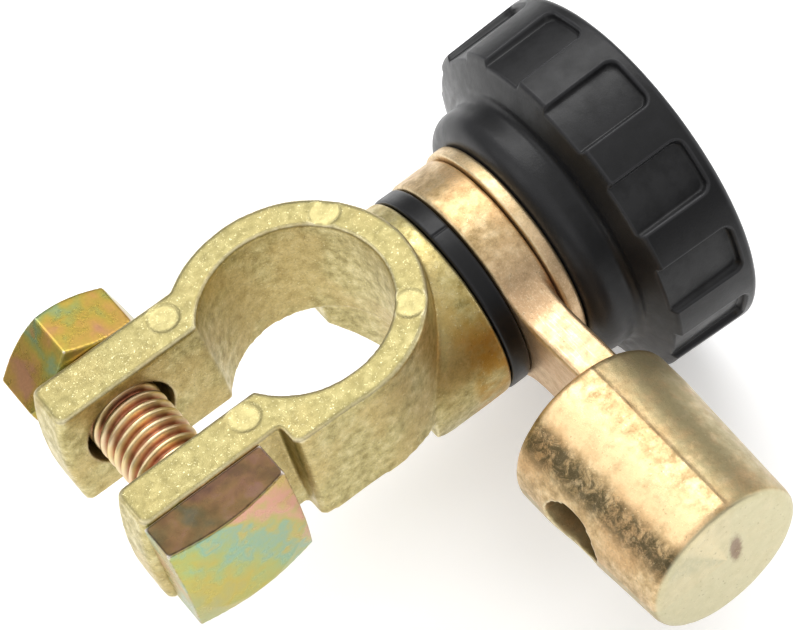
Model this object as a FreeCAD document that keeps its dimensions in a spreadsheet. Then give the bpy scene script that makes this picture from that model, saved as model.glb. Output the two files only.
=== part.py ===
import FreeCAD, Part
import Sketcher
import os, math
from FreeCAD import Vector as V

# Battery switch: a post clamp, an insulated swivel arm with its own battery
# post, and a screw-down knob that joins or parts the two.
# Frame: millimetres, origin where the axis of the post bore meets the axis of
# the knob; +Z along the post bore towards its wide end, +X towards the knob,
# +Y towards the clamp nut.

os.makedirs("parts", exist_ok=True)
doc = FreeCAD.newDocument("battery_switch")
sheet = doc.addObject("Spreadsheet::Sheet", "Sizes")

SIZES = [
    ("post_wide", 9.42, "radius of the post bore at its wide end"),
    ("post_land", 8.85, "radius of the straight land at the narrow end"),
    ("post_relief", 9.25, "radius of the relief in the drum below the land"),
    ("land_top", 3.0, "height at which the taper starts"),
    ("ring_outer", 12.6, "outside radius of the clamp ring"),
    ("ring_tall", 13.4, "height of ring and jaws"),
    ("jaw_gap", 9.38, "distance between the jaws"),
    ("jaw_back", 9.95, "outer face of the jaw under the nut"),
    ("jaw_front", 9.65, "outer face of the jaw under the bolt head"),
    ("jaw_end_top", 23.9, "reach of the jaw ends at the wide end"),
    ("jaw_end_mid", 25.0, "reach of the jaw ends at their fullest"),
    ("jaw_end_low", 24.7, "reach of the jaw ends at the narrow end"),
    ("bolt_off", 17.5, "bolt axis from the post axis"),
    ("bolt_up", 6.76, "bolt axis above the knob axis"),
    ("bolt_rad", 4.0, "bolt shank radius, M8"),
    ("jaw_hole", 4.8, "radius of the clearance holes in the jaws"),
    ("step_at", 8.6, "distance of the head stop from the post axis"),
    ("step_out", 12.3, "outer face of the head stop"),
    ("drum_rad", 11.25, "radius of the contact drum"),
    ("drum_back", 5.4, "start of the contact drum"),
    ("drum_face", 14.75, "flat face of the contact drum"),
    ("thread_rad", 5.0, "stud radius, M10"),
    ("stud_seat", 5.02, "radius of the blind seat of the stud in the drum"),
    ("stud_root", 10.45, "root end of the stud"),
    ("stud_end", 33.2, "free end of the stud"),
    ("stud_bevel", 0.8, "bevel at the free end of the stud"),
    ("spigot_seat", 7.2, "radius of the seat for the bush spigot"),
    ("spigot_deep", 1.55, "depth of the seat for the bush spigot"),
    ("washer_thick", 2.14, "insulating washer thickness"),
    ("washer_at", 14.8, "back face of the insulating washer"),
    ("washer_bore", 6.8, "insulating washer bore radius"),
    ("bush_out", 6.75, "outside radius of the insulating bush"),
    ("bush_in", 5.05, "inside radius of the insulating bush"),
    ("bush_start", 13.25, "inner end of the bush"),
    ("bush_end", 21.75, "outer end of the bush"),
    ("groove_at", 20.55, "start of the retaining ring groove"),
    ("groove_wide", 0.9, "width of the retaining ring groove"),
    ("groove_rad", 6.2, "radius at the bottom of the groove"),
    ("clip_out", 8.2, "outside radius of the retaining ring"),
    ("clip_thick", 0.8, "thickness of the retaining ring"),
    ("clip_gap", 4.0, "opening of the retaining ring"),
    ("eye_back", 17.04, "back face of the arm eye"),
    ("eye_face", 21.92, "contact face of the arm eye"),
    ("eye_rad", 11.45, "outside radius of the arm eye"),
    ("eye_bore", 6.83, "bore radius of the arm eye"),
    ("eye_seat", 8.5, "radius of the recess for the retaining ring"),
    ("eye_seat_at", 20.4, "floor of the recess for the retaining ring"),
    ("neck_half", 5.5, "half width of the arm neck"),
    ("neck_face", 21.4, "front face of the arm neck"),
    ("neck_round", 6.0, "radius between eye and neck"),
    ("stub_x", 16.28, "axis of the cable post"),
    ("stub_near", 21.2, "root end of the cable post"),
    ("stub_far", 41.1, "free end of the cable post"),
    ("stub_root", 9.2, "radius of the cable post at its root"),
    ("stub_tip", 8.35, "radius of the cable post at its free end"),
    ("stub_land", 25.2, "end of the straight part of the cable post"),
    ("core_rad", 3.5, "radius of the cored pocket in the cable post"),
    ("core_at", 29.3, "distance of the cored pocket from the knob axis"),
    ("disc_back", 22.0, "back face of the contact disc"),
    ("disc_front", 23.56, "front face of the contact disc"),
    ("disc_rad", 11.9, "outside radius of the contact disc"),
    ("disc_bore", 5.3, "bore radius of the contact disc"),
    ("insert_flange", 8.6, "radius of the insert flange"),
    ("insert_bore", 5.06, "threaded bore of the insert"),
    ("insert_bottom", 33.9, "bottom of the insert bore"),
    ("flange_back", 23.62, "back face of the insert flange"),
    ("flange_front", 25.2, "front face of the insert flange"),
    ("insert_hex", 15.0, "width across flats of the insert"),
    ("insert_top", 34.9, "front end of the insert"),
    ("knob_back", 23.66, "back face of the knob skirt"),
    ("knob_front", 38.9, "front edge of the knob rim"),
    ("skirt_rad", 14.25, "radius of the knob skirt"),
    ("rim_back", 29.6, "back edge of the knob rim"),
    ("rim_floor", 18.25, "radius at the floor of the grip recesses"),
    ("rim_pad", 18.92, "radius of the rim at its back edge"),
    ("rim_edge", 19.3, "radius of the rim at its front edge"),
    ("pad_end", 37.5, "front end of the grip recesses"),
    ("pad_wide", 17.5, "width of a grip recess in degrees"),
    ("pad_first", 14.7, "angle of the first grip recess in degrees"),
    ("pad_count", 12, "number of grip recesses"),
    ("head_flat", 13.0, "width across flats of bolt head and nut, M8"),
    ("head_back", 9.75, "bearing face of the bolt head"),
    ("head_corner", 13.65, "start of the chamfer of the bolt head"),
    ("head_front", 14.6, "front of the bolt head"),
    ("nut_back", 10.05, "bearing face of the nut"),
    ("nut_front", 16.75, "far face of the nut"),
    ("nut_hole", 4.05, "bore radius of the nut"),
    ("nut_turned", -17.0, "rotation of the nut in degrees"),
    ("bolt_end", 17.1, "end of the bolt"),
]
for i, (name, val, note) in enumerate(SIZES, start=1):
    sheet.set("A%d" % i, name)
    sheet.set("B%d" % i, repr(val))
    sheet.set("C%d" % i, note)
    sheet.setAlias("B%d" % i, name)
doc.recompute()


def g(name):
    return float(sheet.get(name))


X, Y, Z = V(1, 0, 0), V(0, 1, 0), V(0, 0, 1)


def face_of(pts):
    return Part.Face(Part.makePolygon(pts + [pts[0]]))


def turn_x(profile):
    """Solid of revolution about the X axis from (x, radius) pairs."""
    return face_of([V(a, b, 0) for a, b in profile]).revolve(V(0, 0, 0), X, 360)


def turn_y(profile):
    """Solid of revolution about the Y axis from (y, radius) pairs."""
    return face_of([V(b, a, 0) for a, b in profile]).revolve(V(0, 0, 0), Y, 360)


def round_edges(shape, radius, pick):
    edges = [e for e in shape.Edges if pick(e)]
    if not edges:
        return shape
    try:
        out = shape.makeFillet(radius, edges)
        if out.isValid() and out.Volume > 0.5 * shape.Volume and len(out.Solids) == len(shape.Solids):
            return out
    except Exception:
        pass
    for e in edges:
        try:
            out = shape.makeFillet(radius, [e])
        except Exception:
            continue
    return shape


def one(shape):
    s = shape.removeSplitter()
    return s.Solids[0] if len(s.Solids) == 1 else s


made = []


def turned_body(name, profile):
    """A PartDesign body turned about X. profile holds (x, radius) pairs, each
    an expression over the sheet; every corner of the sketch is bound to it."""
    body = doc.addObject("PartDesign::Body", name)
    body.Label = name
    doc.recompute()
    sk = body.newObject("Sketcher::SketchObject", name + "_profile")
    plane = [f for f in body.Origin.OriginFeatures if f.Role == "XY_Plane"][0]
    sk.AttachmentSupport = (plane, [""])
    sk.MapMode = "FlatFace"
    env = {n: v for n, v, _ in SIZES}

    def value(expr):
        total, sign = 0.0, 1.0
        for word in expr.split():
            if word in "+-":
                sign = 1.0 if word == "+" else -1.0
            else:
                total += sign * (env[word] if word in env else float(word))
        return total

    def bound(expr):
        return " ".join("Sizes." + w if w in env else w for w in expr.split())

    pts = [(value(a), value(b)) for a, b in profile]
    count = len(pts)
    for i in range(count):
        p, q = pts[i], pts[(i + 1) % count]
        sk.addGeometry(Part.LineSegment(V(p[0], p[1], 0), V(q[0], q[1], 0)), False)
    for i in range(count):
        sk.addConstraint(Sketcher.Constraint("Coincident", i, 2, (i + 1) % count, 1))
    for i, (ex, er) in enumerate(profile):
        c = sk.addConstraint(Sketcher.Constraint("DistanceX", -1, 1, i, 1, pts[i][0]))
        sk.setExpression("Constraints[%d]" % c, bound(ex))
        if abs(pts[i][1]) < 1e-9:
            sk.addConstraint(Sketcher.Constraint("PointOnObject", i, 1, -1))
        else:
            c = sk.addConstraint(Sketcher.Constraint("DistanceY", -1, 1, i, 1, pts[i][1]))
            sk.setExpression("Constraints[%d]" % c, bound(er))
    rev = body.newObject("PartDesign::Revolution", name + "_turned")
    rev.Profile = sk
    rev.ReferenceAxis = (sk, ["H_Axis"])
    rev.Angle = 360
    body.Tip = rev
    doc.recompute()
    made.append(body)
    return body


def side_sketch(body, name, role, rect):
    """A rectangle sketch on one of the body's own planes; rect holds four
    expressions-as-numbers u0, u1, v0, v1."""
    sk = body.newObject("Sketcher::SketchObject", name)
    plane = [f for f in body.Origin.OriginFeatures if f.Role == role][0]
    sk.AttachmentSupport = (plane, [""])
    sk.MapMode = "FlatFace"
    u0, u1, v0, v1 = rect
    c = [V(u0, v0, 0), V(u1, v0, 0), V(u1, v1, 0), V(u0, v1, 0)]
    for i in range(4):
        sk.addGeometry(Part.LineSegment(c[i], c[(i + 1) % 4]), False)
    for i in range(4):
        sk.addConstraint(Sketcher.Constraint("Coincident", i, 2, (i + 1) % 4, 1))
        sk.addConstraint(Sketcher.Constraint("Horizontal" if i % 2 == 0 else "Vertical", i))
    return sk


def feature(name, shape, place=V(0, 0, 0)):
    obj = doc.addObject("Part::Feature", name)
    obj.Label = name
    obj.Shape = shape
    obj.Placement = FreeCAD.Placement(place, FreeCAD.Rotation())
    made.append(obj)
    return obj


# ---------------------------------------------------------------- clamp body
tall = g("ring_tall")
gap = g("jaw_gap") / 2.0


def jaw(y0, y1):
    p = [V(-6.5, y0, 0), V(-g("jaw_end_low"), y0, 0), V(-g("jaw_end_top"), y0, tall), V(-6.5, y0, tall)]
    w = Part.Wire([
        Part.LineSegment(p[0], p[1]).toShape(),
        Part.Arc(p[1], V(-g("jaw_end_mid"), y0, 0.42 * tall), p[2]).toShape(),
        Part.LineSegment(p[2], p[3]).toShape(),
        Part.LineSegment(p[3], p[0]).toShape()])
    s = Part.Face(w).extrude(V(0, y1 - y0, 0))
    # the four long corners of the free end are rounded
    return round_edges(s, 0.9, lambda e: e.BoundBox.XMax < -23.5 and e.BoundBox.ZLength > 8)


jaws = [jaw(gap, g("jaw_back")), jaw(-g("jaw_front"), -gap)]
ring = Part.makeCylinder(g("ring_outer"), tall)
step = face_of([V(-g("step_at"), -8, 0), V(-g("step_at"), -g("step_out") + 0.6, 0),
                V(-g("step_at") + 0.6, -g("step_out"), 0), V(-3.5, -12.4, 0),
                V(-1.0, -12.55, 0), V(0, -8, 0)]).extrude(V(0, 0, tall))
drum = Part.makeCylinder(g("drum_rad"), g("drum_face") - g("drum_back"),
                         V(g("drum_back"), 0, 0), X)
drum = round_edges(drum, 0.5, lambda e: abs(e.BoundBox.XMin - g("drum_face")) < 1e-3 and e.BoundBox.XLength < 1e-3)
# the back of the drum slopes away under the ring
slope = face_of([V(3.0, -16, -1.07), V(15.5, -16, -14.25), V(3.0, -16, -14.25)]).extrude(V(0, 32, 0))
drum = drum.cut(slope)
body = ring.fuse([jaws[0], jaws[1], step, drum])
# post bore: straight land, then the taper of a battery post
land = Part.makeCylinder(g("post_land"), 1.0 + g("land_top"), V(0, 0, -1.0))
rise = tall - g("land_top")
taper = Part.makeCone(g("post_land"), g("post_wide"), rise, V(0, 0, g("land_top")))
lip = Part.makeCone(g("post_wide") - 0.02, g("post_wide") + 0.5, 0.5, V(0, 0, tall - 0.45))
slot = Part.makeBox(22.0, 2 * gap, tall + 2, V(-27.0, -gap, -1))
holes = Part.makeCylinder(g("jaw_hole"), 30, V(-g("bolt_off"), -15, g("bolt_up")), Y)
thread = Part.makeCylinder(g("stud_seat"), 8, V(g("stud_root") - 0.05, 0, 0), X)
seat = Part.makeCylinder(g("spigot_seat"), g("spigot_deep") + 1.0,
                         V(g("drum_face") - g("spigot_deep"), 0, 0), X)
relief = Part.makeCylinder(g("post_relief"), 16.0, V(0, 0, -16.0))
body = body.cut([land, taper, relief, slot, holes, thread, seat])
body = one(body)
# worn, slightly broken outer edges
body = round_edges(body, 0.35, lambda e: abs(e.BoundBox.ZMin - tall) < 1e-3 and e.BoundBox.ZLength < 1e-3
                   and not (abs(e.BoundBox.YMax) < gap + 0.01 and abs(e.BoundBox.YMin) < gap + 0.01
                            and e.BoundBox.YLength < 1e-3)
                   and e.Length > 6 and e.CenterOfMass.distanceToPoint(V(0, 0, tall)) > 9.9)
feature("clamp_body", body)

# ---------------------------------------------------------------- clamp bolt
af = g("head_flat")
head_block = Part.makeBox(af, g("head_front") - g("head_back"), af, V(-af / 2, -g("head_front"), -af / 2))
head_dome = turn_y([(-g("head_front"), 0), (-g("head_front"), 6.1), (-g("head_corner"), 9.3),
                    (-g("head_back"), 9.3), (-g("head_back"), 0)])
head = head_block.common(head_dome)
shank = turn_y([(-g("head_back") - 0.5, 0), (-g("head_back") - 0.5, g("bolt_rad")),
                (g("bolt_end") - 0.8, g("bolt_rad")), (g("bolt_end"), g("bolt_rad") - 0.8), (g("bolt_end"), 0)])
feature("clamp_bolt", one(head.fuse(shank)), V(-g("bolt_off"), 0, g("bolt_up")))

# ---------------------------------------------------------------- clamp nut
rc = af / 2 / math.cos(math.radians(30))
hexa = face_of([V(rc * math.cos(math.radians(60 * k + g("nut_turned"))), g("nut_back"),
                  rc * math.sin(math.radians(60 * k + g("nut_turned")))) for k in range(6)])
hexa = hexa.extrude(V(0, g("nut_front") - g("nut_back"), 0))
b0, b1 = g("nut_back"), g("nut_front")
cone = turn_y([(b0, 0), (b0, 6.25), (b0 + 0.75, 7.6), (b1 - 0.75, 7.6), (b1, 6.25), (b1, 0)])
nut = hexa.common(cone).cut(Part.makeCylinder(g("nut_hole"), 12, V(0, b0 - 2, 0), Y))
nut = nut.cut(turn_y([(b0 - 0.1, 0), (b0 - 0.1, g("nut_hole") + 0.6), (b0 + 0.5, g("nut_hole")), (b0 + 0.5, 0)]))
nut = nut.cut(turn_y([(b1 + 0.1, 0), (b1 + 0.1, g("nut_hole") + 0.6), (b1 - 0.5, g("nut_hole")), (b1 - 0.5, 0)]))
feature("clamp_nut", one(nut), V(-g("bolt_off"), 0, g("bolt_up")))

# ---------------------------------------------------------------- insulating washer
# built from primitives that follow the size sheet
disc_out = doc.addObject("Part::Cylinder", "washer_outer")
disc_out.setExpression("Radius", "Sizes.drum_rad")
disc_out.setExpression("Height", "Sizes.washer_thick")
disc_hole = doc.addObject("Part::Cylinder", "washer_hole")
disc_hole.setExpression("Radius", "Sizes.washer_bore")
disc_hole.setExpression("Height", "Sizes.washer_thick + 2")
disc_hole.Placement = FreeCAD.Placement(V(0, 0, -1), FreeCAD.Rotation())
ins = doc.addObject("Part::Cut", "insulator_washer")
ins.Base, ins.Tool = disc_out, disc_hole
ins.Label = "insulator_washer"
ins.Placement = FreeCAD.Placement(V(g("washer_at"), 0, 0), FreeCAD.Rotation(Y, 90))
made.append(ins)

# ---------------------------------------------------------------- insulating bush
turned_body("insulator_bush", [
    ("bush_start", "bush_in"), ("bush_start", "spigot_seat - 0.05"),
    ("drum_face - 0.02", "spigot_seat - 0.05"), ("drum_face - 0.02", "bush_out"),
    ("groove_at", "bush_out"), ("groove_at", "groove_rad"),
    ("groove_at + groove_wide", "groove_rad"), ("groove_at + groove_wide", "bush_out - 0.05"),
    ("bush_end", "bush_out - 0.15"), ("bush_end", "bush_in")])

# ---------------------------------------------------------------- contact stud
turned_body("contact_stud", [
    ("stud_root", "0"), ("stud_root", "thread_rad"), ("stud_end - stud_bevel", "thread_rad"),
    ("stud_end", "thread_rad - stud_bevel"), ("stud_end", "0")])

# ---------------------------------------------------------------- retaining ring
# a turned ring opened on one side by a pocket
clip = turned_body("retaining_ring", [
    ("groove_at + 0.05", "groove_rad + 0.05"), ("groove_at + 0.05", "clip_out"),
    ("groove_at + 0.05 + clip_thick", "clip_out"), ("groove_at + 0.05 + clip_thick", "groove_rad + 0.05")])
opening = side_sketch(clip, "ring_opening", "YZ_Plane", (-g("clip_gap") / 2, g("clip_gap") / 2, 0.5, g("clip_out") + 2))
for flip in (False, True):
    full = clip.Shape.Volume
    cutter = clip.newObject("PartDesign::Pocket", "ring_cut")
    cutter.Profile = opening
    cutter.Type = 1
    cutter.Midplane = True
    clip.Tip = cutter
    doc.recompute()
    if cutter.Shape.Volume < full - 1.0:
        break
    clip.removeObject(cutter)
    doc.removeObject(cutter.Name)

# ---------------------------------------------------------------- cable arm
e0, e1 = g("eye_back"), g("eye_face")
eye = Part.makeCylinder(g("eye_rad"), e1 - e0, V(e0, 0, 0), X)
eye = round_edges(eye, 0.4, lambda e: e.BoundBox.XLength < 1e-3)
nh, nr, er = g("neck_half"), g("neck_round"), g("eye_rad")
cy = -math.sqrt((er + nr) ** 2 - (nh + nr) ** 2)
tz, ty = (nh + nr) * er / (er + nr), cy * er / (er + nr)
mid_a = math.radians(0.5 * (math.degrees(math.atan2(-(nh + nr), -cy)) - 90))
am = V(e0, cy + nr * math.cos(mid_a), nh + nr + nr * math.sin(mid_a))
far = -(g("stub_near") + 3.0)
edges = [
    Part.Arc(V(e0, ty, tz), am, V(e0, cy, nh)).toShape(),
    Part.LineSegment(V(e0, cy, nh), V(e0, far, nh)).toShape(),
    Part.LineSegment(V(e0, far, nh), V(e0, far, -nh)).toShape(),
    Part.LineSegment(V(e0, far, -nh), V(e0, cy, -nh)).toShape(),
    Part.Arc(V(e0, cy, -nh), V(e0, am.y, -am.z), V(e0, ty, -tz)).toShape(),
    Part.LineSegment(V(e0, ty, -tz), V(e0, 0, 0)).toShape(),
    Part.LineSegment(V(e0, 0, 0), V(e0, ty, tz)).toShape()]
neck = Part.Face(Part.Wire(edges)).extrude(V(g("neck_face") - e0, 0, 0))
neck = round_edges(neck, 0.5, lambda e: e.BoundBox.XLength < 1e-3 and abs(abs(e.CenterOfMass.z) - nh) < 0.05)
n, f, r0, r1 = -g("stub_near"), -g("stub_far"), g("stub_root"), g("stub_tip")
stub = turn_y([(n, 0), (n, r0), (-g("stub_land"), r0), (f, r1), (f, 0)])
stub = round_edges(stub, 0.9, lambda e: e.BoundBox.YLength < 1e-3)
stub.translate(V(g("stub_x"), 0, 0))
arm = eye.fuse([neck, stub])
arm = arm.cut(Part.makeCylinder(g("eye_bore"), 12, V(e0 - 3, 0, 0), X))
arm = arm.cut(Part.makeCylinder(g("eye_seat"), 5, V(g("eye_seat_at"), 0, 0), X))
# pocket left by the core that lightens the post
arm = arm.cut(Part.makeCylinder(g("core_rad"), g("stub_x") - 4.0, V(4.0, -g("core_at"), 0), X))
feature("cable_arm", one(arm))

# ---------------------------------------------------------------- contact disc
turned_body("contact_disc", [
    ("disc_back", "disc_bore"), ("disc_back", "disc_rad - 0.25"), ("disc_back + 0.25", "disc_rad"),
    ("disc_front - 0.35", "disc_rad"), ("disc_front", "disc_rad - 0.35"), ("disc_front", "disc_bore")])

# ---------------------------------------------------------------- knob insert
# flanged hexagon with a blind threaded bore, moulded into the knob
insert = turn_x([(g("flange_back"), 0), (g("flange_back"), g("insert_flange")),
                 (g("flange_front"), g("insert_flange")), (g("flange_front"), 0)])
hx = g("insert_hex") / 2 / math.cos(math.radians(30))


def hex_x(rad, x0, x1):
    return face_of([V(x0, rad * math.cos(math.radians(60 * k)), rad * math.sin(math.radians(60 * k)))
                    for k in range(6)]).extrude(V(x1 - x0, 0, 0))


insert = insert.fuse(hex_x(hx, g("flange_front") - 0.2, g("insert_top")))
insert = insert.cut(turn_x([(g("flange_back") - 1, 0), (g("flange_back") - 1, g("insert_bore")),
                            (g("insert_bottom"), g("insert_bore")), (g("insert_bottom") + 0.5, 0)]))
feature("knob_insert", one(insert))

# ---------------------------------------------------------------- knob
kb, kf, sk, rb = g("knob_back"), g("knob_front"), g("skirt_rad"), g("rim_back")
rf, re_, pe = g("rim_floor"), g("rim_edge"), g("pad_end")
outline = [V(kb, 0, 0), V(kb, 12.2, 0)]
k = Part.Wire([
    Part.LineSegment(V(kb, 0, 0), V(kb, 12.1, 0)).toShape(),
    Part.Arc(V(kb, 12.1, 0), V(kb + 0.65, sk - 0.65, 0), V(kb + 2.2, sk, 0)).toShape(),
    Part.LineSegment(V(kb + 2.2, sk, 0), V(27.3, sk, 0)).toShape(),
    Part.Arc(V(27.3, sk, 0), V(27.75, sk + 0.35, 0), V(28.1, sk + 1.2, 0)).toShape(),
    Part.LineSegment(V(28.1, sk + 1.2, 0), V(rb - 0.3, g("rim_pad") - 0.4, 0)).toShape(),
    Part.LineSegment(V(rb - 0.3, g("rim_pad") - 0.4, 0), V(rb, g("rim_pad"), 0)).toShape(),
    Part.LineSegment(V(rb, g("rim_pad"), 0), V(kf - 0.7, re_, 0)).toShape(),
    Part.Arc(V(kf - 0.7, re_, 0), V(kf - 0.2, re_ - 0.2, 0), V(kf, re_ - 0.7, 0)).toShape(),
    Part.LineSegment(V(kf, re_ - 0.7, 0), V(kf, re_ - 2.4, 0)).toShape(),
    Part.LineSegment(V(kf, re_ - 2.4, 0), V(kf - 1.1, re_ - 3.3, 0)).toShape(),
    Part.LineSegment(V(kf - 1.1, re_ - 3.3, 0), V(kf - 1.1, 0, 0)).toShape(),
    Part.LineSegment(V(kf - 1.1, 0, 0), V(kb, 0, 0)).toShape()])
core = Part.Face(k).revolve(V(0, 0, 0), X, 360)
# one grip recess: a ring sector open at the back edge, rounded at its front
# corners, cut all the way round the rim
half = math.radians(g("pad_wide") / 2)
sector = turn_x([(rb - 1.6, rf - 0.05), (pe, rf + 0.15), (pe, 22.0), (rb - 1.6, 22.0)])
w = 30.0 * math.tan(half)
wedge = face_of([V(0, 0, 0), V(0, 30, -w), V(0, 30, w)]).extrude(V(60, 0, 0))
recess = sector.common(wedge)
recess = round_edges(recess, 0.95, lambda e: e.BoundBox.XLength < 0.01 and e.BoundBox.XMax > pe - 0.01 and
                     e.Length < 4.5 and abs(e.CenterOfMass.z) > 1.5)
cuts = []
for i in range(int(g("pad_count"))):
    q = recess.copy()
    q.rotate(V(0, 0, 0), X, g("pad_first") + i * 360.0 / g("pad_count"))
    cuts.append(q)
knob = core.cut(cuts)
knob = knob.cut(Part.makeCylinder(g("insert_flange") + 0.03, g("flange_front") + 0.03 - kb + 2, V(kb - 2, 0, 0), X))
knob = knob.cut(hex_x(hx + 0.04, g("flange_front") - 0.3, g("insert_top") + 0.04))
feature("knob_body", one(knob))

# ---------------------------------------------------------------- check and write
doc.recompute()
for obj in made:
    if "Invalid" in obj.State or "Error" in obj.State:
        raise SystemExit("state of %s: %s" % (obj.Label, obj.State))
    s = obj.Shape
    if s.isNull() or not s.isValid():
        raise SystemExit("bad shape %s" % obj.Label)
    print(obj.Label, "solids", len(s.Solids), "volume %.1f" % s.Volume,
          "box", [round(c, 2) for c in (s.BoundBox.XMin, s.BoundBox.XMax, s.BoundBox.YMin, s.BoundBox.YMax,
                                        s.BoundBox.ZMin, s.BoundBox.ZMax)])
    s.exportStep("parts/%s.step" % obj.Label)
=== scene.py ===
import bpy, bmesh, math
import numpy as np
from mathutils import Matrix, Vector, noise


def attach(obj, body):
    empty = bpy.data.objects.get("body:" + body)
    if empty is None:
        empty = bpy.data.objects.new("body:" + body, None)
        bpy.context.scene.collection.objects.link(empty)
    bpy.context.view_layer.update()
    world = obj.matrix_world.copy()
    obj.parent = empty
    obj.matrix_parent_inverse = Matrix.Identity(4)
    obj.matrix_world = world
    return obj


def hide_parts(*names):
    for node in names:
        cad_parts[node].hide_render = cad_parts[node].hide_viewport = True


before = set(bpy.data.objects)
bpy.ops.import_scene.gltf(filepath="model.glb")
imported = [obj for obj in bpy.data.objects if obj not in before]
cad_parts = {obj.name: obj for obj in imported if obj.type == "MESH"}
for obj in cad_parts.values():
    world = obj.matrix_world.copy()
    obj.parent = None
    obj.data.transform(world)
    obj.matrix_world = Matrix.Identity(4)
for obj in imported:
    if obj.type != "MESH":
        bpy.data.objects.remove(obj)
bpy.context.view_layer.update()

MM = 0.001


# ------------------------------------------------------------------ meshes
def new_obj(name, verts, faces, smooth=True):
    me = bpy.data.meshes.new(name)
    me.from_pydata(verts, [], faces)
    me.update()
    if smooth:
        me.shade_smooth()
    ob = bpy.data.objects.new(name, me)
    bpy.context.scene.collection.objects.link(ob)
    return ob


def apply_mods(ob):
    dg = bpy.context.evaluated_depsgraph_get()
    dg.update()
    me = bpy.data.meshes.new_from_object(ob.evaluated_get(dg))
    ob.modifiers.clear()
    ob.data = me
    return ob


def cad_copy(node, name):
    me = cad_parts[node].data.copy()
    me.materials.clear()
    ob = bpy.data.objects.new(name, me)
    bpy.context.scene.collection.objects.link(ob)
    bm = bmesh.new()
    bm.from_mesh(me)
    bmesh.ops.remove_doubles(bm, verts=bm.verts, dist=1.2e-5)
    bm.to_mesh(me)
    bm.free()
    me.update()
    return ob


def soften(ob, voxel, rounds, factor=0.5):
    """Evens a mesh out into a fine skin with small round edges, as a casting has."""
    m = ob.modifiers.new("skin", "REMESH")
    m.mode = "VOXEL"
    m.voxel_size = voxel
    m.use_smooth_shade = True
    s = ob.modifiers.new("ease", "SMOOTH")
    s.factor = factor
    s.iterations = rounds
    return apply_mods(ob)


def frame_of(axis):
    """Columns (along, u, v) for a lathe along a row axis."""
    if axis == "X":
        return Vector((1, 0, 0)), Vector((0, 1, 0)), Vector((0, 0, 1))
    return Vector((0, 1, 0)), Vector((0, 0, 1)), Vector((1, 0, 0))


def lathe(name, profile, axis="X", at=(0, 0, 0), segs=192, closed=True, radius=None):
    """Turns a profile of (along, radius) pairs in mm; radius() may change each point by angle."""
    al, u, v = frame_of(axis)
    o = Vector(at)
    verts, faces = [], []
    n = len(profile)
    for i in range(segs):
        t = 2 * math.pi * i / segs
        d = u * math.cos(t) + v * math.sin(t)
        for (a, r) in profile:
            rr = radius(a, r, t) if radius else r
            verts.append((o + al * a + d * rr) * MM)
    for i in range(segs):
        j = (i + 1) % segs
        for k in range(n if closed else n - 1):
            m = (k + 1) % n
            faces.append((i * n + k, i * n + m, j * n + m, j * n + k))
    ob = new_obj(name, verts, faces)
    bm = bmesh.new()
    bm.from_mesh(ob.data)
    bmesh.ops.remove_doubles(bm, verts=bm.verts, dist=1e-7)
    bmesh.ops.dissolve_degenerate(bm, edges=bm.edges, dist=1e-8)
    bmesh.ops.recalc_face_normals(bm, faces=bm.faces)
    bm.to_mesh(ob.data)
    bm.free()
    ob.data.shade_smooth()
    return ob


def rounded(profile, rad, steps=4, closed=True):
    """Rounds the corners of a profile. rad is one radius, or one per corner."""
    out = []
    n = len(profile)
    for i, p in enumerate(profile):
        r = rad[i] if isinstance(rad, (list, tuple)) else rad
        if (not closed and i in (0, n - 1)) or r <= 0:
            out.append(p)
            continue
        a, b = Vector(profile[i - 1]), Vector(profile[(i + 1) % n])
        c = Vector(p)
        da, db = (a - c), (b - c)
        m = min(r, da.length * 0.49, db.length * 0.49)
        s, e = c + da.normalized() * m, c + db.normalized() * m
        for k in range(steps + 1):
            t = k / steps
            q = s * (1 - t) ** 2 + c * 2 * t * (1 - t) + e * t * t
            out.append((q.x, q.y))
    return out


def thread_rows(a0, a1, step):
    n = max(2, int(round((a1 - a0) / step)))
    return [a0 + (a1 - a0) * i / n for i in range(n + 1)]


def screw(name, a0, a1, crest, root, pitch, axis, at, lead_in=1.0, lead_out=1.0, core=None, segs=96, hand=1):
    """A real helical thread: the radius follows the helix, with flat crests and round roots."""
    prof = [(a, crest) for a in thread_rows(a0, a1, pitch / 16)]
    lo, hi = a0, a1

    def radius(a, r, t):
        ph = (a / pitch - hand * t / (2 * math.pi)) % 1.0
        tri = 1 - abs(2 * ph - 1)
        h = min(1.0, max(0.0, (tri - 0.14) / 0.68))
        h = h * h * (3 - 2 * h) * 0.35 + h * 0.65
        rr = root + (crest - root) * h
        edge = min(1.0, max(0.0, (hi - a) / lead_out))
        cap = root - 0.15 + (crest - root + 0.15) * edge
        rr = min(rr, cap)
        if core is not None:
            back = min(1.0, max(0.0, (a - lo) / lead_in))
            rr = min(rr, core) if a < lo + 0.001 else rr * back + core * (1 - back) if back < 1 else rr
        return rr

    prof = [(a0, 0.0)] + prof + [(a1, 0.0)]

    def rad2(a, r, t):
        return 0.0 if r == 0.0 else radius(a, r, t)

    return lathe(name, prof, axis, at, segs, False, rad2)


def join(name, obs):
    bm = bmesh.new()
    for o in obs:
        bm.from_mesh(o.data)
    me = bpy.data.meshes.new(name)
    bm.to_mesh(me)
    bm.free()
    me.shade_smooth()
    for o in obs:
        bpy.data.objects.remove(o)
    ob = bpy.data.objects.new(name, me)
    bpy.context.scene.collection.objects.link(ob)
    return ob


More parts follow.
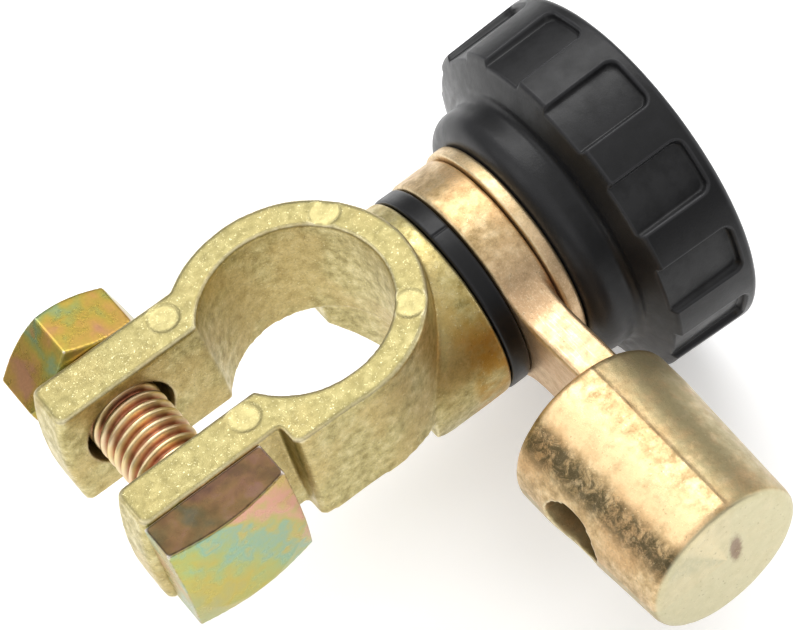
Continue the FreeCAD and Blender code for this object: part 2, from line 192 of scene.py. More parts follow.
# ------------------------------------------------------------------ materials
class Mat:
    def __init__(self, name):
        self.m = bpy.data.materials.new(name)
        self.m.use_nodes = True
        self.nt = self.m.node_tree
        self.b = self.nt.nodes["Principled BSDF"]
        self.tc = self.nt.nodes.new("ShaderNodeTexCoord")
        self.mm = self.nt.nodes.new("ShaderNodeMapping")
        self.mm.inputs["Scale"].default_value = (1000, 1000, 1000)
        self.nt.links.new(self.tc.outputs["Object"], self.mm.inputs["Vector"])
        self.vec = self.mm.outputs["Vector"]

    def n(self, kind, **kw):
        x = self.nt.nodes.new(kind)
        for k, v in kw.items():
            setattr(x, k, v)
        return x

    def link(self, a, b):
        self.nt.links.new(a, b)

    def noise(self, scale, detail=4, rough=0.55, stretch=None, dist=0.0):
        x = self.n("ShaderNodeTexNoise")
        x.inputs["Scale"].default_value = scale
        x.inputs["Detail"].default_value = detail
        x.inputs["Roughness"].default_value = rough
        x.inputs["Distortion"].default_value = dist
        if stretch:
            m = self.n("ShaderNodeMapping")
            m.inputs["Scale"].default_value = stretch
            self.link(self.vec, m.inputs["Vector"])
            self.link(m.outputs[0], x.inputs["Vector"])
        else:
            self.link(self.vec, x.inputs["Vector"])
        return x.outputs["Fac"]

    def ramp(self, fac, stops, interp="LINEAR"):
        r = self.n("ShaderNodeValToRGB")
        r.color_ramp.interpolation = interp
        el = r.color_ramp.elements
        while len(el) < len(stops):
            el.new(0.5)
        for e, (p, c) in zip(el, stops):
            e.position = p
            e.color = (*c, 1) if len(c) == 3 else c
        self.link(fac, r.inputs["Fac"])
        return r.outputs["Color"]

    def steps(self, fac, lo, hi, a=0.0, b=1.0):
        r = self.n("ShaderNodeMapRange")
        r.inputs["From Min"].default_value = lo
        r.inputs["From Max"].default_value = hi
        r.inputs["To Min"].default_value = a
        r.inputs["To Max"].default_value = b
        r.interpolation_type = "SMOOTHSTEP"
        self.link(fac, r.inputs["Value"])
        return r.outputs["Result"]

    def mix(self, fac, a, b, blend="MIX"):
        x = self.n("ShaderNodeMix", data_type="RGBA", blend_type=blend)
        x.clamp_factor = True
        for sock, val in ((x.inputs["Factor"], fac), (x.inputs[6], a), (x.inputs[7], b)):
            if isinstance(val, (tuple, list)):
                sock.default_value = (*val, 1)
            elif isinstance(val, (int, float)):
                sock.default_value = val
            else:
                self.link(val, sock)
        return x.outputs[2]

    def math(self, op, a, b=None, clamp=False):
        x = self.n("ShaderNodeMath", operation=op)
        x.use_clamp = clamp
        for i, v in enumerate((a, b)):
            if v is None:
                continue
            if isinstance(v, (int, float)):
                x.inputs[i].default_value = v
            else:
                self.link(v, x.inputs[i])
        return x.outputs[0]

    def xyz(self):
        s = self.n("ShaderNodeSeparateXYZ")
        self.link(self.vec, s.inputs[0])
        return s.outputs

    def normal(self):
        g = self.n("ShaderNodeNewGeometry")
        s = self.n("ShaderNodeSeparateXYZ")
        t = self.n("ShaderNodeVectorTransform", vector_type="NORMAL", convert_from="WORLD", convert_to="OBJECT")
        self.link(g.outputs["Normal"], t.inputs[0])
        self.link(t.outputs[0], s.inputs[0])
        return s.outputs

    def edge(self, lo, hi):
        g = self.n("ShaderNodeAttribute", attribute_name="edge_wear")
        return self.steps(g.outputs["Fac"], lo, hi)

    def dist(self, cx, cy, cz):
        x = self.n("ShaderNodeVectorMath", operation="DISTANCE")
        self.link(self.vec, x.inputs[0])
        x.inputs[1].default_value = (cx, cy, cz)
        return x.outputs["Value"]

    def bump(self, height, strength, dist_mm):
        x = self.n("ShaderNodeBump")
        x.inputs["Strength"].default_value = strength
        x.inputs["Distance"].default_value = dist_mm * MM
        self.link(height, x.inputs["Height"])
        self.link(x.outputs["Normal"], self.b.inputs["Normal"])

    def done(self, color, rough, metallic=None):
        self.link(color, self.b.inputs["Base Color"])
        self.link(rough, self.b.inputs["Roughness"])
        if metallic is not None:
            self.b.inputs["Metallic"].default_value = metallic
        return self.m


def cast_metal(name, dark, mid, light, warm, speck=0.62, warm_fac=None, arm=False):
    k = Mat(name)
    big = k.noise(0.16, 3, 0.5)
    med = k.noise(0.9, 5, 0.62)
    fine = k.noise(4.2, 4, 0.7)
    grit = k.noise(4.6, 5, 0.75, dist=0.3)
    base = k.ramp(med, [(0.3, dark), (0.5, mid), (0.68, light)])
    base = k.mix(k.steps(big, 0.42, 0.62, 0.0, 0.55), base, warm)
    tone = k.ramp(fine, [(0.3, (0.72, 0.72, 0.70)), (0.5, (1, 1, 1)), (0.72, (1.18, 1.17, 1.1))])
    base = k.mix(0.75, base, tone, "MULTIPLY")
    if not arm:
        # the flat faces of the clamp are darker olive, the drum under them golden
        nz = k.normal()[2]
        pos = k.xyz()
        face = k.steps(nz, 0.86, 0.97)
        high = k.steps(pos[2], 12.6, 13.0)
        top = k.math("MULTIPLY", face, high)
        base = k.mix(k.math("MULTIPLY", top, 0.8), base, (0.235, 0.205, 0.085))
        gold = k.math("MULTIPLY", k.steps(pos[0], 9.5, 11.5), k.steps(pos[2], 12.0, 4.0))
        patch = k.steps(k.noise(0.35, 4, 0.6), 0.36, 0.6)
        base = k.mix(k.math("MULTIPLY", k.math("MULTIPLY", gold, patch), 0.85), base, (0.50, 0.29, 0.045))
        # pads left by the mould's push-out pins
        marks = None
        for (x, y) in ((-9.85, 7.82), (8.56, 6.93), (-10.4, -6.5), (8.3, -7.1)):
            d = k.dist(x, y, 13.4)
            ringed = k.steps(d, 1.75, 1.35)
            marks = ringed if marks is None else k.math("MAXIMUM", marks, ringed)
        marks = k.math("MULTIPLY", marks, k.steps(k.noise(1.3, 4, 0.6), 0.34, 0.5, 0.55, 1.0))
        base = k.mix(k.math("MULTIPLY", marks, 0.55), base, (0.47, 0.41, 0.19))
    else:
        pos = k.xyz()
        # painted light on the post: a dark speckled band of painted reflection, and a brighter painted streak
        # highlight along the post
        band = k.math("MULTIPLY", k.steps(pos[1], -20.5, -22.5), 1.0)
        ang = k.n("ShaderNodeMath", operation="ARCTAN2")
        k.link(pos[2], ang.inputs[0])
        k.link(k.math("SUBTRACT", pos[0], 16.28), ang.inputs[1])
        a = ang.outputs[0]
        # painted dark reflection beside the highlight, broken up by speckle noise; it is painted shade, not rub
        # marks
        painted_dark_reflection = k.math("MULTIPLY", k.math("MULTIPLY", k.steps(a, 2.12, 2.28), k.steps(a, 2.72, 2.42)), band)
        painted_dark_reflection = k.math("MULTIPLY", painted_dark_reflection, k.steps(k.noise(0.75, 8, 0.85, dist=0.6), 0.40, 0.56))
        base = k.mix(k.math("MULTIPLY", painted_dark_reflection, 0.88), base, (0.085, 0.07, 0.035))
        # painted highlight: a bright streak painted along the post where the surface faces the view
        painted_streak_highlight = k.math("MULTIPLY", k.math("MULTIPLY", k.steps(a, 1.60, 1.85), k.steps(a, 2.22, 2.02)), band)
        base = k.mix(k.math("MULTIPLY", painted_streak_highlight, k.steps(k.noise(0.8, 6, 0.7), 0.3, 0.6, 0.45, 0.95)), base, (1.0, 0.70, 0.38))
        flat = k.math("MULTIPLY", k.steps(a, 1.5, 1.3), band)
        base = k.mix(k.math("MULTIPLY", flat, k.steps(k.noise(0.5, 6, 0.7), 0.3, 0.6, 0.25, 0.75)), base, (0.40, 0.35, 0.19))
        # end face and the torn mark of the runner
        end = k.steps(pos[1], -40.6, -40.95)
        base = k.mix(k.math("MULTIPLY", end, 0.8), base, (0.60, 0.56, 0.36))
        mark = k.n("ShaderNodeMapping")
        mark.inputs["Location"].default_value = (-17.4, 40.9, -0.3)
        mark.inputs["Scale"].default_value = (1.0, 1.0, 0.33)
        k.link(k.vec, mark.inputs["Vector"])
        ml = k.n("ShaderNodeVectorMath", operation="LENGTH")
        k.link(mark.outputs[0], ml.inputs[0])
        torn = k.math("ADD", ml.outputs["Value"], k.math("MULTIPLY", k.noise(1.6, 5, 0.7), 0.9))
        base = k.mix(k.math("MULTIPLY", k.steps(torn, 1.45, 0.85), 0.8), base, (0.20, 0.11, 0.07))
        # the pinkish, freshly plated neck
        neck = k.math("MULTIPLY", k.steps(pos[1], -20.4, -18.0), k.steps(pos[1], -4.0, -10.0))
        base = k.mix(k.math("MULTIPLY", neck, 0.5), base, (0.72, 0.48, 0.30))
        scr = k.noise(1.0, 3, 0.6, stretch=(7.0, 0.35, 7.0))
        base = k.mix(k.math("MULTIPLY", neck, k.steps(scr, 0.52, 0.66, 0, 0.45)), base, (0.93, 0.76, 0.50))
    worn = k.edge(0.05, 0.15)
    worn = k.math("MULTIPLY", worn, k.steps(k.noise(1.5, 4, 0.6), 0.3, 0.55, 0.35, 1.0))
    base = k.mix(k.math("MULTIPLY", worn, 0.7), base, (0.95, 0.86, 0.58))
    sp = k.steps(grit, speck, speck + 0.05)
    base = k.mix(k.math("MULTIPLY", sp, 0.6), base, (0.90, 0.84, 0.52))
    pits = k.steps(k.noise(3.1, 3, 0.6), 0.36, 0.28)
    base = k.mix(k.math("MULTIPLY", pits, 0.45), base, tuple(0.45 * c for c in dark))
    ro = k.steps(med, 0.3, 0.7, 0.44, 0.30)
    ro = k.math("SUBTRACT", ro, k.math("MULTIPLY", sp, 0.12))
    k.bump(k.math("ADD", k.math("MULTIPLY", grit, 0.6), k.math("MULTIPLY", k.noise(8.5, 3, 0.6), 0.5)), 0.55, 0.06)
    return k.done(base, ro, 0.9)


def zinc(name, dark_top=False):
    """Yellow zinc plate: thin-film colours drift from gold through green and pink to teal."""
    k = Mat(name)
    n1 = k.noise(0.17, 3, 0.5, dist=0.5)
    n2 = k.noise(0.42, 4, 0.55)
    f = k.math("ADD", k.math("MULTIPLY", n1, 0.75), k.math("MULTIPLY", n2, 0.25))
    col = k.ramp(f, [(0.36, (0.62, 0.36, 0.28)), (0.43, (0.66, 0.46, 0.17)), (0.49, (0.60, 0.50, 0.14)),
                     (0.54, (0.47, 0.52, 0.20)), (0.59, (0.36, 0.55, 0.42)), (0.64, (0.56, 0.52, 0.26)),
                     (0.70, (0.72, 0.44, 0.36))])
    fine = k.noise(3.5, 4, 0.65)
    col = k.mix(0.6, col, k.ramp(fine, [(0.3, (0.8, 0.8, 0.8)), (0.7, (1.15, 1.13, 1.1))]), "MULTIPLY")
    col = k.mix(0.95, col, (0.66, 0.57, 0.34), "MULTIPLY")
    if dark_top:
        nz = k.normal()[2]
        up = k.steps(nz, 0.80, 0.95)
        tone = k.ramp(k.noise(0.5, 4, 0.6), [(0.35, (0.020, 0.009, 0.006)), (0.55, (0.050, 0.024, 0.012)), (0.7, (0.060, 0.027, 0.026))])
        col = k.mix(k.math("MULTIPLY", up, 0.92), col, tone)
        ny = k.normal()[1]
        front = k.steps(ny, -0.75, -0.9)
        pos = k.xyz()
        # the wide front face: pink near the stop, teal patch in the middle, gold-green below
        f2 = k.math("ADD", k.math("MULTIPLY", k.math("ADD", pos[0], 17.5), 0.045), k.math("MULTIPLY", k.math("SUBTRACT", pos[2], 6.8), 0.03))
        f2 = k.math("ADD", k.math("ADD", f2, 0.42), k.math("MULTIPLY", k.math("SUBTRACT", n2, 0.5), 0.8))
        fc = k.ramp(f2, [(0.05, (0.44, 0.44, 0.17)), (0.22, (0.52, 0.44, 0.10)), (0.38, (0.40, 0.46, 0.17)),
                         (0.50, (0.27, 0.45, 0.33)), (0.60, (0.48, 0.44, 0.15)), (0.74, (0.66, 0.34, 0.27)), (0.9, (0.54, 0.40, 0.15))])
        col = k.mix(k.math("MULTIPLY", front, 0.85), col, fc)
    worn = k.edge(0.07, 0.18)
    col = k.mix(k.math("MULTIPLY", worn, 0.8), col, (0.95, 0.88, 0.82))
    ro = k.steps(n2, 0.3, 0.7, 0.34, 0.24)
    k.bump(fine, 0.25, 0.05)
    return k.done(col, ro, 0.8)


def thread_metal(name, axis, cx, cz, crest, root, pale, deep):
    k = Mat(name)
    pos = k.xyz()
    if axis == "Y":
        a, b = k.math("SUBTRACT", pos[0], cx), k.math("SUBTRACT", pos[2], cz)
    else:
        a, b = pos[1], pos[2]
    rad = k.math("SQRT", k.math("ADD", k.math("MULTIPLY", a, a), k.math("MULTIPLY", b, b)))
    top = k.steps(rad, root + 0.15 * (crest - root), crest - 0.03)
    n1 = k.noise(0.8, 4, 0.6)
    low = k.ramp(n1, [(0.35, deep), (0.6, tuple(min(1, 1.7 * c) for c in deep))])
    col = k.mix(top, low, pale)
    tint = k.ramp(k.noise(0.3, 3, 0.5), [(0.38, (1.0, 0.78, 0.74)), (0.5, (1, 1, 1)), (0.62, (1.0, 0.97, 0.75))])
    col = k.mix(0.8, col, tint, "MULTIPLY")
    fine = k.noise(3.2, 4, 0.6)
    k.bump(fine, 0.3, 0.04)
    return k.done(col, k.steps(n1, 0.3, 0.7, 0.28, 0.38), 0.85)


def black_plastic(name, base=(0.028, 0.028, 0.030), grain=0.35, knob=False):
    k = Mat(name)
    n1 = k.noise(0.5, 4, 0.6)
    fine = k.noise(5.0, 4, 0.7)
    col = k.ramp(n1, [(0.3, tuple(0.72 * c for c in base)), (0.7, tuple(1.35 * c for c in base))])
    col = k.mix(k.steps(fine, 0.6, 0.72, 0, 0.35), col, tuple(2.2 * c for c in base))
    worn = k.edge(0.02, 0.06)
    col = k.mix(k.math("MULTIPLY", worn, 0.55), col, tuple(4.0 * c for c in base))
    if knob:
        # grey bloom on the grip pads
        pos = k.xyz()
        rad = k.math("SQRT", k.math("ADD", k.math("MULTIPLY", pos[1], pos[1]), k.math("MULTIPLY", pos[2], pos[2])))
        onpad = k.math("MULTIPLY", k.steps(rad, 18.75, 18.45), k.steps(rad, 18.0, 18.2))
        col = k.mix(k.math("MULTIPLY", onpad, k.steps(n1, 0.35, 0.65, 0.1, 0.4)), col, (0.028, 0.028, 0.029))
    ro = k.steps(n1, 0.3, 0.7, 0.38, 0.28)
    k.bump(k.math("ADD", fine, k.math("MULTIPLY", k.noise(1.6, 5, 0.6), 0.6)), grain, 0.05)
    k.b.inputs["Specular IOR Level"].default_value = 0.26
    return k.done(col, ro, 0.0)


M_CLAMP = cast_metal("cast_clamp_finish", (0.31, 0.255, 0.095), (0.50, 0.425, 0.185), (0.66, 0.58, 0.30), (0.56, 0.42, 0.17), 0.60)
M_ARM = cast_metal("cast_arm_finish", (0.34, 0.235, 0.105), (0.55, 0.39, 0.20), (0.72, 0.55, 0.32), (0.62, 0.38, 0.18), 0.62, arm=True)
M_BOLT = zinc("bolt_plate", dark_top=True)
M_NUT = zinc("nut_plate")
M_BTHREAD = thread_metal("bolt_thread_plate", "Y", -17.5, 6.76, 4.0, 3.35, (0.84, 0.68, 0.42), (0.26, 0.11, 0.06))
M_BRASS = cast_metal("contact_brass_finish", (0.52, 0.38, 0.19), (0.66, 0.50, 0.28), (0.78, 0.62, 0.38), (0.74, 0.52, 0.30), 0.66, arm=True)
M_STUD = thread_metal("stud_thread_brass", "X", 0, 0, 5.0, 4.2, (0.86, 0.70, 0.40), (0.38, 0.25, 0.10))
M_STEEL = thread_metal("spring_steel_finish", "X", 0, 0, 8.2, 6.2, (0.42, 0.42, 0.43), (0.20, 0.20, 0.21))
M_KNOB = black_plastic("knob_plastic_finish", (0.0085, 0.0085, 0.0092), 0.35, knob=True)
M_INS = black_plastic("insulator_finish", (0.0045, 0.0045, 0.005), 0.2)


def mark_edges(ob):
    """Stores how sharply each vertex stands out, evened over its neighbours, for wear along edges."""
    me = ob.data
    n, m = len(me.vertices), len(me.edges)
    co = np.empty(3 * n)
    me.vertices.foreach_get("co", co)
    co = co.reshape(n, 3) * 1000
    no = np.empty(3 * n)
    me.vertex_normals.foreach_get("vector", no)
    no = no.reshape(n, 3)
    ed = np.empty(2 * m, dtype=np.int64)
    me.edges.foreach_get("vertices", ed)
    ed = ed.reshape(m, 2)
    a, b = ed[:, 0], ed[:, 1]
    d = co[a] - co[b]
    ln = np.sqrt((d * d).sum(1)) + 1e-6
    ca = (d * no[a]).sum(1) / ln
    cb = (-d * no[b]).sum(1) / ln
    deg = np.bincount(a, minlength=n) + np.bincount(b, minlength=n) + 1e-9
    c = (np.bincount(a, ca, n) + np.bincount(b, cb, n)) / deg
    for _ in range(3):
        c = 0.4 * c + 0.6 * (np.bincount(a, c[b], n) + np.bincount(b, c[a], n)) / deg
    at = me.attributes.new("edge_wear", "FLOAT", "POINT")
    at.data.foreach_set("value", c.astype(np.float32))


def place(ob, mat, node, body):
    mark_edges(ob)
    ob.data.materials.clear()
    ob.data.materials.append(mat)
    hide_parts(node)
    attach(ob, body)


# ------------------------------------------------------------------ clamp casting
def shift(ob, move):
    """Moves each vertex to what move(point in mm, normal) returns, in mm."""
    me = ob.data
    count = len(me.vertices)
    pts = [0.0] * (3 * count)
    nor = [0.0] * (3 * count)
    me.vertices.foreach_get("co", pts)
    me.vertex_normals.foreach_get("vector", nor)
    for i in range(count):
        p = Vector(pts[3 * i:3 * i + 3]) * 1000
        q = move(p, Vector(nor[3 * i:3 * i + 3])) * MM
        pts[3 * i:3 * i + 3] = q
    me.vertices.foreach_set("co", pts)
    me.update()


MARKS = ((-9.85, 7.82), (8.56, 6.93), (-10.4, -6.5), (8.3, -7.1))


def clamp_skin(p, n):
    wob = noise.noise(p * 0.35) * 0.035 + noise.noise(p * 1.3) * 0.012 - 0.03
    q = p + n * wob
    if p.z > 13.1:
        for (mx, my) in MARKS:
            d = math.hypot(p.x - mx, p.y - my)
            if d < 2.1:
                low = 1.0 if d < 1.45 else max(0.0, (1.7 - d) / 0.25)
                q.z += -0.10 * low + 0.03 * math.exp(-((d - 1.75) / 0.16) ** 2)
    return q


clamp = soften(cad_copy("clamp_body", "clamp_casting"), 0.22 * MM, 5)
shift(clamp, clamp_skin)
place(clamp, M_CLAMP, "clamp_body", "clamp")


# ------------------------------------------------------------------ arm casting
def arm_skin(p, n):
    d = noise.noise(p * 0.33 + Vector((7, 1, 3))) * 0.035 + noise.noise(p * 1.2) * 0.012 - 0.03
    if p.y < -20.8 and abs(n.y) < 0.5:
        # line where the two halves of the mould met
        line = math.exp(-((p.x - 17.35) / 0.16) ** 2)
        side = 1 if p.z > 0 else -1
        fade = 0.6 + 0.5 * noise.noise(Vector((0, p.y * 0.5, side * 3)))
        d += 0.13 * line * max(0.15, fade)
        if p.x > 17.35:
            d -= 0.05 * min(1.0, (p.x - 17.35) / 0.4)
    if p.y < -40.7:
        # torn stub of the runner on the end face
        g = math.exp(-(((p.x - 17.4) / 0.45) ** 2 + ((p.z - 0.3) / 1.1) ** 2))
        d -= 0.10 * g * (0.7 + 0.6 * noise.noise(p * 2.0))
    return p + n * d


arm = soften(cad_copy("cable_arm", "arm_casting"), 0.22 * MM, 4)
shift(arm, arm_skin)
place(arm, M_ARM, "cable_arm", "arm")

# ------------------------------------------------------------------ clamp bolt
def half(ob, point, normal):
    bm = bmesh.new()
    bm.from_mesh(ob.data)
    geom = bm.verts[:] + bm.edges[:] + bm.faces[:]
    res = bmesh.ops.bisect_plane(bm, geom=geom, plane_co=point, plane_no=normal, clear_outer=True)
    cut = [e for e in res["geom_cut"] if isinstance(e, bmesh.types.BMEdge)]
    bmesh.ops.contextual_create(bm, geom=cut)
    bmesh.ops.recalc_face_normals(bm, faces=bm.faces)
    bm.to_mesh(ob.data)
    bm.free()
    return ob


BA = (-17.5, 0, 6.76)
head = half(cad_copy("clamp_bolt", "bolt_head"), Vector((0, -9.55 * MM, 0)), Vector((0, 1, 0)))
head = soften(head, 0.14 * MM, 3)
head.data.materials.clear()
shaft = screw("bolt_shaft", -9.9, 17.1, 4.0, 3.35, 1.25, "Y", BA, lead_out=1.2)
place(head, M_BOLT, "clamp_bolt", "clamp_bolt")
place(shaft, M_BTHREAD, "clamp_bolt", "clamp_bolt")

# ------------------------------------------------------------------ clamp nut
nut = soften(cad_copy("clamp_nut", "nut_hexagon"), 0.14 * MM, 3)
place(nut, M_NUT, "clamp_nut", "clamp_nut")

# ------------------------------------------------------------------ insulator
R = 11.25
wash = rounded([(14.80, 6.8), (14.80, R), (16.94, R), (16.94, 6.8)], [0.1, 0.35, 0.35, 0.1], 5)


def seam(a, r, t):
    # the moulded split of the insulating washer
    if r > 10.9:
        d = ((t - math.radians(96)) + math.pi) % (2 * math.pi) - math.pi
        return r - 0.12 * math.exp(-((d * R) / 0.12) ** 2)
    return r


wash_p = []
for i, p in enumerate(wash):
    q = wash[(i + 1) % len(wash)]
    wash_p.append(p)
    if math.hypot(q[0] - p[0], q[1] - p[1]) > 1.0:
        for t in (0.25, 0.5, 0.75):
            wash_p.append((p[0] + (q[0] - p[0]) * t, p[1] + (q[1] - p[1]) * t))
washer = lathe("insulator_ring", wash_p, segs=720, radius=seam)
place(washer, M_INS, "insulator_washer", "clamp")
bush = lathe("insulator_sleeve", rounded([(13.25, 5.05), (13.25, 7.15), (14.73, 7.15), (14.73, 6.75), (20.55, 6.75), (20.55, 6.2),
                                          (21.45, 6.2), (21.45, 6.7), (21.75, 6.6), (21.75, 5.05)], 0.1, 3))
place(bush, M_INS, "insulator_bush", "clamp")


# ------------------------------------------------------------------ retaining ring
def open_ring(name, x0, x1, r0, r1, gap, segs=160):
    prof = rounded([(x0, r0), (x0, r1), (x1, r1), (x1, r0)], 0.15, 3)
    n = len(prof)
    t0 = math.asin(gap / 2 / r1) * 1.05
    verts, faces = [], []
    for i in range(segs + 1):
        t = math.pi / 2 + t0 + (2 * math.pi - 2 * t0) * i / segs
        for (a, r) in prof:
            verts.append((a * MM, r * math.cos(t) * MM, r * math.sin(t) * MM))
    for i in range(segs):
        for k in range(n):
            m = (k + 1) % n
            faces.append((i * n + k, i * n + m, (i + 1) * n + m, (i + 1) * n + k))
    faces.append(tuple(range(n)))
    faces.append(tuple(segs * n + k for k in reversed(range(n))))
    ob = new_obj(name, verts, faces)
    bm = bmesh.new()
    bm.from_mesh(ob.data)
    bmesh.ops.recalc_face_normals(bm, faces=bm.faces)
    bm.to_mesh(ob.data)
    bm.free()
    return ob


clip = open_ring("spring_clip", 20.6, 21.4, 6.25, 8.2, 4.0)
place(clip, M_STEEL, "retaining_ring", "clamp")

# ------------------------------------------------------------------ contact disc, stud and insert
disc_p = rounded([(22.0, 5.3), (22.0, 11.9), (23.56, 11.9), (23.56, 5.3)], [0.1, 0.3, 0.4, 0.1], 5)
disc = lathe("contact_plate", disc_p, segs=256, radius=lambda a, r, t: r + (0.02 * math.sin(9 * t) if r > 11.5 else 0) - (0.02 if r > 11.5 else 0))
place(disc, M_BRASS, "contact_disc", "contact_carriage")
stud = screw("stud_thread", 10.45, 33.2, 5.0, 4.2, 1.5, "X", (0, 0, 0), lead_out=1.3)
place(stud, M_STUD, "contact_stud", "clamp")
insert = soften(cad_copy("knob_insert", "threaded_insert"), 0.2 * MM, 2)
place(insert, M_BRASS, "knob_insert", "knob")


# ------------------------------------------------------------------ knob
def smooth(t):
    t = min(1.0, max(0.0, t))
    return t * t * (3 - 2 * t)


PAD0, PADN, PADW = math.radians(14.7), 12, math.radians(17.5)
X0, X1 = 29.6, 37.5


def pad_height(x, t):
    step = 2 * math.pi / PADN
    d = ((t - PAD0 + step / 2) % step) - step / 2
    arc = abs(d) * 18.6
    hw = PADW / 2 * 18.6
    cx, hx = 31.0, X1 - 31.0          # open towards the back edge
    qx, qy = max(0.0, (x - cx) - hx + 1.0), max(0.0, arc - hw + 1.0)
    dist = math.hypot(qx, qy) - 1.0 if (qx > 0 and qy > 0) else max((x - cx) - hx, arc - hw)
    return smooth((-dist + 0.10) / 0.34)


def knob_radius(a, r, t):
    # a shallow recess in the rim between ribs, open at the back edge
    if 28.7 <= a <= X1 + 0.4 and r > 17.6:
        deep = pad_height(a, t)
        low = 18.25 + 0.15 * (a - X0) / (X1 - X0)
        if r > low:
            return r + (low - r) * deep
    return r


kb = 23.66
prof = [(25.235, 8.63), (kb, 8.66), (kb, 10.0), (kb, 11.9)]
for i in range(1, 11):
    t = math.pi / 2 * i / 10
    prof.append((kb + 2.25 * (1 - math.cos(t)), 11.95 + 2.3 * math.sin(t)))
prof += [(26.4, 14.25), (26.9, 14.25), (27.3, 14.26)]
for i in range(1, 7):
    t = math.pi / 2 * i / 6
    prof.append((27.3 + 0.85 * math.sin(t), 14.26 + 1.1 * (1 - math.cos(t))))
for i in range(1, 11):
    prof.append((28.15 + 1.15 * i / 10, 15.36 + 3.14 * i / 10))
prof += [(29.36, 18.62), (29.44, 18.74), (29.53, 18.84)]
x = 29.62
while x < 38.1:
    prof.append((x, 18.90 + 0.38 * (x - 29.6) / 8.6))
    x += 0.13
prof += [(38.2, 19.28), (38.35, 19.27), (38.5, 19.23), (38.62, 19.15), (38.74, 19.03), (38.83, 18.88), (38.88, 18.72), (38.9, 18.5), (38.9, 17.6),
         (38.87, 17.0), (38.78, 16.75), (38.5, 16.5), (38.1, 16.25), (37.92, 16.1), (37.83, 15.9), (37.8, 15.5), (37.8, 12.0), (37.8, 8.0), (37.8, 3.0), (37.8, 0.0)]


def knob_r2(a, r, t):
    return 0.0 if r == 0.0 else knob_radius(a, r, t)


outer = lathe("knob_moulding", prof, segs=1080, closed=False, radius=knob_r2)


def close_pocket(ob):
    """The hexagonal pocket behind the flange of the insert, closed at its bottom."""
    segs = 1080
    verts, faces = [], []
    hexr = 15.0 / 2 + 0.035
    rows = []
    for i in range(segs):
        t = 2 * math.pi * i / segs
        th = (t + math.pi / 6) % (math.pi / 3) - math.pi / 6
        th2 = (t) % (math.pi / 3) - math.pi / 6
        r = hexr / math.cos(th2)
        rows.append((t, r))
    for (t, r) in rows:
        for (a, q) in ((25.235, 8.63), (25.235, min(r, 8.6)), (34.94, min(r, 8.6)), (34.94, 0.0)):
            verts.append((a * MM, q * math.cos(t) * MM, q * math.sin(t) * MM))
    for i in range(segs):
        j = (i + 1) % segs
        for k in range(3):
            faces.append((i * 4 + k, i * 4 + k + 1, j * 4 + k + 1, j * 4 + k))
    return new_obj("pocket", verts, faces)


knob = join("knob_grip", [outer, close_pocket(outer)])
bm = bmesh.new()
bm.from_mesh(knob.data)
bmesh.ops.remove_doubles(bm, verts=bm.verts, dist=2e-6)
bmesh.ops.dissolve_degenerate(bm, edges=bm.edges, dist=1e-8)
bmesh.ops.recalc_face_normals(bm, faces=bm.faces)
bm.to_mesh(knob.data)
bm.free()
knob.data.shade_smooth()
place(knob, M_KNOB, "knob_body", "knob")

# ------------------------------------------------------------------ stage, light, camera
sc = bpy.context.scene
bm = bmesh.new()
bmesh.ops.create_grid(bm, x_segments=2, y_segments=2, size=1.6)
me = bpy.data.meshes.new("floor")
bm.to_mesh(me)
bm.free()
floor = bpy.data.objects.new("floor", me)
floor.location = (0, 0, -0.0215)
sc.collection.objects.link(floor)
fm = bpy.data.materials.new("floor_paper")
fm.use_nodes = True
fb = fm.node_tree.nodes["Principled BSDF"]
fb.inputs["Base Color"].default_value = (0.95, 0.95, 0.95, 1)
fb.inputs["Emission Color"].default_value = (1, 1, 1, 1)
fb.inputs["Emission Strength"].default_value = 0.30
fb.inputs["Roughness"].default_value = 0.9
fb.inputs["Specular IOR Level"].default_value = 0.1
floor.data.materials.append(fm)

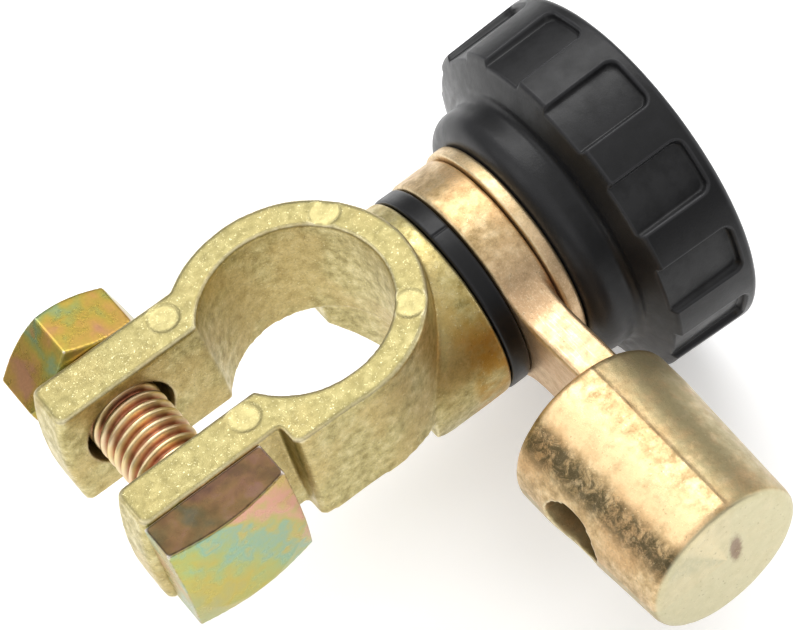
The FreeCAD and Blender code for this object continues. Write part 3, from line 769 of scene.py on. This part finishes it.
w = bpy.data.worlds.new("studio")
sc.world = w
w.use_nodes = True
nt = w.node_tree
bg = nt.nodes["Background"]
tc = nt.nodes.new("ShaderNodeTexCoord")
sep = nt.nodes.new("ShaderNodeSeparateXYZ")
rp = nt.nodes.new("ShaderNodeValToRGB")
nt.links.new(tc.outputs["Generated"], sep.inputs[0])
nt.links.new(sep.outputs[2], rp.inputs["Fac"])
rp.color_ramp.elements[0].position = 0.0
rp.color_ramp.elements[0].color = (0.20, 0.20, 0.21, 1)
rp.color_ramp.elements[1].position = 0.95
rp.color_ramp.elements[1].color = (1.25, 1.25, 1.25, 1)
for pos_, lum in ((0.30, 0.30), (0.45, 0.75), (0.70, 0.95)):
    e_ = rp.color_ramp.elements.new(pos_)
    e_.color = (lum, lum, lum, 1)
nt.links.new(rp.outputs["Color"], bg.inputs["Color"])
bg.inputs["Strength"].default_value = 0.85

CX, CY, CZ = Vector((0.78714190, -0.59209247, -0.17272560)), Vector((0.57683759, 0.60758768, 0.54598132)), Vector((-0.21832549, -0.52939939, 0.81979892))
TARGET = Vector((0.008, -0.008, 0.0))


def area(name, direction, dist, size, watts, color=(1, 1, 1)):
    d = Vector(direction).normalized()
    L = bpy.data.lights.new(name, "AREA")
    L.shape = "RECTANGLE"
    L.size, L.size_y = size
    L.energy = watts
    L.color = color
    o = bpy.data.objects.new(name, L)
    o.location = TARGET + d * dist
    o.rotation_euler = (-d).to_track_quat("-Z", "Y").to_euler()
    sc.collection.objects.link(o)
    return o


# directions are given on the camera's own right/up/back axes at the fixed view
def cam_dir(r, u, b):
    return CX * r + CY * u + CZ * b


area("key_top", cam_dir(-0.25, 1.0, 0.45), 0.55, (0.45, 0.30), 1.5)
area("fill_left", cam_dir(-1.0, 0.15, 0.5), 0.6, (0.35, 0.45), 0.5)
area("rim_right", cam_dir(1.0, 0.35, 0.15), 0.6, (0.25, 0.4), 0.5)
area("front_soft", cam_dir(0.1, -0.4, 1.0), 0.9, (0.5, 0.5), 0.35)

cam = bpy.data.cameras.new("camera")
cam.sensor_width = 36
cam.lens = 125.768
cam.clip_start = 0.01
cam.clip_end = 10
co = bpy.data.objects.new("camera", cam)
mw = Matrix.Identity(4)
for i, c in enumerate((CX, CY, CZ)):
    for r in range(3):
        mw[r][i] = c[r]
mw.translation = Vector((-0.049434, -0.143945, 0.224592))
co.matrix_world = mw
sc.collection.objects.link(co)
sc.camera = co
sc.view_settings.view_transform = "Standard"
sc.view_settings.look = "None"
